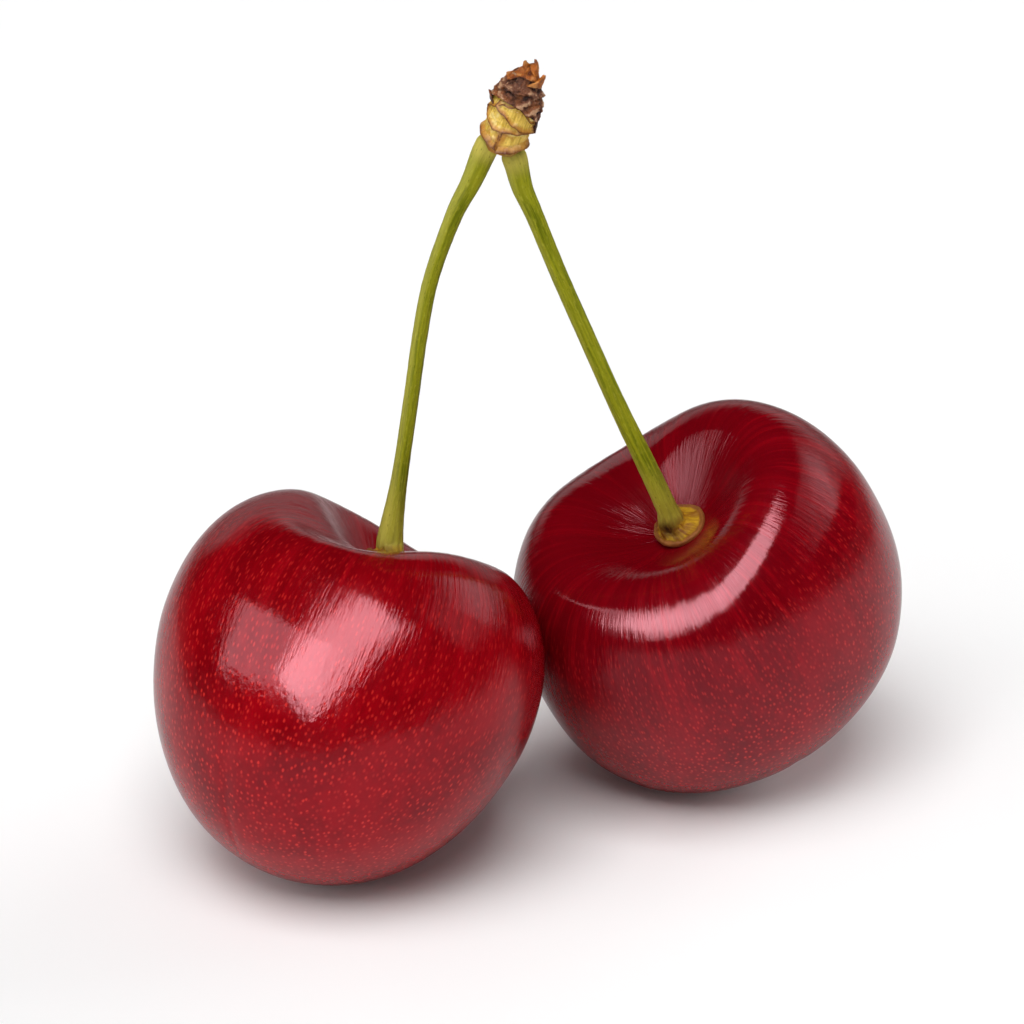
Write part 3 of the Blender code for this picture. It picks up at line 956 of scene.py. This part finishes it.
def stalk_material():
    """Green stalk on a browned disc, with a bruise at its foot."""
    paint = Paint("stalk")
    fibre = paint.attribute("fibre", "Vector")
    along = paint.attribute("along")
    lines = paint.noise(paint.scaled(fibre, (4.5, 4.5, 0.30)), 1.0, 4.0, 0.6)
    mottle = paint.noise(paint.scaled(fibre, (3.0, 3.0, 1.6)), 1.0, 4.0, 0.65)
    on_disc = paint.math("MAXIMUM", paint.attribute("on_disc"),
                         paint.step(along, 0.0, 0.5, 0.6, 0.0))
    color = paint.mix(on_disc, stalk_color(paint, fibre, along, lines, mottle),
                      disc_color(paint, fibre, mottle))
    bruise = paint.times(paint.attribute("bruise"), paint.step(mottle, 0.30, 0.52, 0.45, 1.0))
    paint.shade(
        Base_Color=paint.mix(bruise, color, BRUISE_BROWN),
        Normal=paint.bump((lines, 0.00010), (mottle, 0.00008)),
        Roughness=paint.step(mottle, 0.3, 0.7, 0.42, 0.58),
        Specular_IOR_Level=0.05,
    )
    return paint.material


SHEATH_TAN = (0.42, 0.135, 0.016, 1.0)
# Cream painted as highlight on the raised parts of the sheath's relief.
SHEATH_RIDGE_HIGHLIGHT = (0.90, 0.72, 0.30, 1.0)


def sheath_material(name, light, dark, edge_color, edge_width):
    """Papery sheath: pale with fine veins, painted highlight on its raised relief, browned in a
    band along its free edges.
    """
    paint = Paint(name)
    grain = paint.attribute("grain", "Vector")
    lines = paint.noise(paint.scaled(grain, (6.0, 6.0, 0.7)), 1.0, 4.0, 0.6)
    patches = paint.noise(grain, 1.5, 3.0)
    fine = paint.noise(grain, 7.0, 3.0)
    # Painted highlight: cream where the relief stands out.
    painted_ridge_highlight = paint.step(paint.attribute("shell_relief"), 0.10, 0.45, 0.0, 0.55)
    fray = paint.plus(paint.attribute("edge"), paint.times(patches, -edge_width))
    tan_band = paint.step(fray, 0.0, edge_width * 1.3, 0.75, 0.0)
    brown_band = paint.step(fray, -edge_width * 0.6, edge_width * 0.25, 0.95, 0.0)
    color = paint.mix(paint.step(lines, 0.36, 0.62), dark, light)
    color = paint.mix(paint.step(patches, 0.52, 0.72, 0.0, 0.60), color, SHEATH_TAN)
    color = paint.mix(painted_ridge_highlight, color, SHEATH_RIDGE_HIGHLIGHT)
    color = paint.mix(tan_band, color, SHEATH_TAN)
    color = paint.mix(brown_band, color, edge_color)
    paint.shade(
        Base_Color=paint.mix(paint.step(fine, 0.58, 0.72, 0.0, 0.35), color, edge_color),
        Normal=paint.bump((lines, 0.00008), (patches, 0.00012)),
        Roughness=paint.step(fine, 0.3, 0.7, 0.28, 0.45),
        Specular_IOR_Level=0.18,
    )
    return paint.material


def scale_material(name, dark, middle, light, warm):
    """Dry bud scale: painted shade in the creases and painted highlight on the ridges of its
    relief, with warmer stains.
    """
    paint = Paint(name)
    grain = paint.attribute("grain", "Vector")
    crumple = paint.noise(grain, 2.2, 5.0, 0.65)
    fine = paint.noise(grain, 8.0, 4.0, 0.6)
    stains = paint.noise(grain, 0.8, 2.0)
    # Painted shade and highlight: dark in the creases of the relief and bump, pale on their
    # ridges.
    height = paint.plus(paint.times(paint.attribute("shell_relief"), 0.8), crumple)
    color = paint.mix(paint.step(height, 0.20, 0.55), dark, middle)
    color = paint.mix(paint.step(stains, 0.46, 0.66, 0.0, 0.75), color, warm)
    color = paint.mix(paint.step(height, 0.60, 0.92, 0.0, 0.80), color, light)
    # Painted highlight on the tops of the fine bumps here, and painted shade in their hollows
    # below.
    color = paint.mix(paint.step(fine, 0.56, 0.74, 0.0, 0.55), color, light)
    paint.shade(
        Base_Color=paint.mix(paint.step(fine, 0.28, 0.40, 0.55, 0.0), color, dark),
        Normal=paint.bump((crumple, 0.00060), (fine, 0.00009)),
        Roughness=paint.step(crumple, 0.3, 0.7, 0.26, 0.48),
        Specular_IOR_Level=0.25,
    )
    return paint.material


# Stage, light and camera. The world's light falls on surfaces, and only the camera sees its
# backdrop. The floor's colour in the gloss is painted shade: dimmer, and fading darker between
# the near and the far distance.

CAMERA_ELEVATION = math.radians(27.0)
CAMERA_DISTANCE = 0.300
CAMERA_AIM = (-0.00155, -0.00247, 0.025)
CAMERA_LENS = 152.4
SENSOR_WIDTH = 36.0
NEAREST_SEEN = 0.01
WORLD_WHITE = (1.0, 1.0, 1.0, 1.0)
WORLD_LIGHT = 0.22
WORLD_BACKDROP = 1.0
FLOOR_SIZE = 6.0
FLOOR_WHITE = (0.93, 0.93, 0.93, 1.0)
FLOOR_NEAR_GLOSS_SHADE = (0.56, 0.56, 0.56, 1.0)
FLOOR_FAR_GLOSS_SHADE = (0.06, 0.06, 0.06, 1.0)
FLOOR_NEAR, FLOOR_FAR = 0.05, 0.20


def make_floor():
    """A matt white table. Its colour in the gloss of the skins is painted shade: dimmer, and dark
    further out.
    """
    bpy.ops.mesh.primitive_plane_add(size=FLOOR_SIZE)
    floor = bpy.context.object
    floor.name = "floor"
    paint = Paint("floor")
    rays = paint.node("LightPath")
    spread = paint.node("VectorMath", operation="LENGTH")
    paint.feed(spread.inputs[0], paint.node("TexCoord").outputs["Object"])
    # Painted shade in the gloss: dimmer near the object and dark further out.
    gloss = paint.mix(paint.step(spread.outputs["Value"], FLOOR_NEAR, FLOOR_FAR),
                      FLOOR_NEAR_GLOSS_SHADE, FLOOR_FAR_GLOSS_SHADE)
    paint.shade(
        Base_Color=paint.mix(rays.outputs["Is Glossy Ray"], FLOOR_WHITE, gloss),
        Roughness=1.0,
        Specular_IOR_Level=0.0,
    )
    floor.data.materials.append(paint.material)


LIGHT_DISTANCE = 3.0
# name, azimuth from the front, elevation and roll in degrees, width and height at one metre,
# radiance, and whether it lights or only shows in the gloss
LIGHTS = (
    ("key_gloss", -15.1, 40.2, 53.0, 1.37, 0.60, 8.8, "gloss"),
    ("left_gloss", -55.2, 25.9, 7.8, 1.18, 0.49, 3.0, "gloss"),
    ("right_gloss", 104.6, 33.0, -8.3, 1.17, 0.58, 0.50, "gloss"),
    ("right_glow", 116.6, 29.0, 11.5, 0.55, 0.36, 0.90, "gloss"),
    ("back_gloss", 180.0, 8.0, 0.0, 1.56, 0.47, 0.36, "gloss"),
    ("top", -14.0, 67.0, 0.0, 0.74, 0.74, 5.0, "light"),
    ("left", -58.0, 27.0, 0.0, 0.80, 0.60, 1.5, "light"),
    ("right_back", 125.0, 24.0, 0.0, 0.80, 0.60, 2.4, "light"),
)


def softbox(name, azimuth, elevation, roll, width, height, radiance, gives):
    """A flat light that faces the object and is equally bright all over."""
    light = bpy.data.lights.new(name, "AREA")
    light.shape = "RECTANGLE"
    light.size = width * LIGHT_DISTANCE
    light.size_y = height * LIGHT_DISTANCE
    light.energy = radiance * light.size * light.size_y * math.pi
    lamp = bpy.data.objects.new(name, light)
    bpy.context.scene.collection.objects.link(lamp)
    round_angle = math.radians(azimuth)
    up_angle = math.radians(elevation)
    toward = Vector((math.sin(round_angle) * math.cos(up_angle),
                     -math.cos(round_angle) * math.cos(up_angle), math.sin(up_angle)))
    level = Vector((0.0, 0.0, 1.0)).cross(toward).normalized()
    upright = toward.cross(level)
    axes = Matrix((level, upright, toward)).transposed().to_4x4()
    lamp.matrix_world = (Matrix.Translation(toward * LIGHT_DISTANCE) @ axes
                         @ Matrix.Rotation(math.radians(roll), 4, "Z"))
    lamp.visible_diffuse = gives == "light"
    lamp.visible_glossy = gives == "gloss"


def make_world():
    """White behind the object, soft light from all round, and dark in the gloss."""
    world = bpy.data.worlds.new("studio")
    bpy.context.scene.world = world
    world.use_nodes = True
    tree = world.node_tree
    rays = tree.nodes.new("ShaderNodeLightPath")
    shader = tree.nodes["Background"]
    shader.inputs["Color"].default_value = WORLD_WHITE
    around = tree.nodes.new("ShaderNodeMath")
    around.operation = "MULTIPLY"
    around.inputs[1].default_value = WORLD_LIGHT
    tree.links.new(rays.outputs["Is Diffuse Ray"], around.inputs[0])
    behind = tree.nodes.new("ShaderNodeMath")
    behind.operation = "MULTIPLY_ADD"
    behind.inputs[1].default_value = WORLD_BACKDROP
    tree.links.new(rays.outputs["Is Camera Ray"], behind.inputs[0])
    tree.links.new(around.outputs[0], behind.inputs[2])
    tree.links.new(behind.outputs[0], shader.inputs["Strength"])


def make_camera():
    camera = bpy.data.cameras.new("camera")
    camera.lens = CAMERA_LENS
    camera.sensor_width = SENSOR_WIDTH
    camera.clip_start = NEAREST_SEEN
    holder = bpy.data.objects.new("camera", camera)
    bpy.context.scene.collection.objects.link(holder)
    back = Vector((0.0, -math.cos(CAMERA_ELEVATION), math.sin(CAMERA_ELEVATION)))
    holder.location = Vector(CAMERA_AIM) + back * CAMERA_DISTANCE
    holder.rotation_euler = (math.pi / 2.0 - CAMERA_ELEVATION, 0.0, 0.0)
    bpy.context.scene.camera = holder


def build():
    bpy.context.scene.view_settings.view_transform = "Standard"
    left_skin = skin_material("skin_left", (0.165, 0.0005, 0.0032, 1.0),
                              (0.305, 0.0009, 0.0048, 1.0))
    right_skin = skin_material("skin_right", (0.145, 0.0005, 0.0038, 1.0),
                               (0.265, 0.0009, 0.0060, 1.0))
    stalk = stalk_material()
    sheath = sheath_material("sheath", (0.84, 0.58, 0.110, 1.0), (0.58, 0.36, 0.035, 1.0),
                             (0.11, 0.024, 0.006, 1.0), 0.22)
    wood = sheath_material("spur_wood", (0.40, 0.24, 0.05, 1.0), (0.22, 0.13, 0.02, 1.0),
                           (0.20, 0.09, 0.03, 1.0), 0.1)
    scale = scale_material("bud_scale", (0.040, 0.012, 0.007, 1.0), (0.20, 0.066, 0.032, 1.0),
                           (0.70, 0.40, 0.22, 1.0), (0.36, 0.105, 0.024, 1.0))
    tip = scale_material("bud_tip", (0.17, 0.035, 0.010, 1.0), (0.50, 0.125, 0.018, 1.0),
                         (0.80, 0.34, 0.09, 1.0), (0.78, 0.22, 0.010, 1.0))
    make_fruit(LEFT_FRUIT, left_skin)
    make_fruit(RIGHT_FRUIT, right_skin)
    make_stalk(LEFT_STALK, stalk)
    make_stalk(RIGHT_STALK, stalk)
    make_spur(sheath, wood, scale, tip)
    make_floor()
    make_world()
    for light in LIGHTS:
        softbox(*light)
    make_camera()


build()
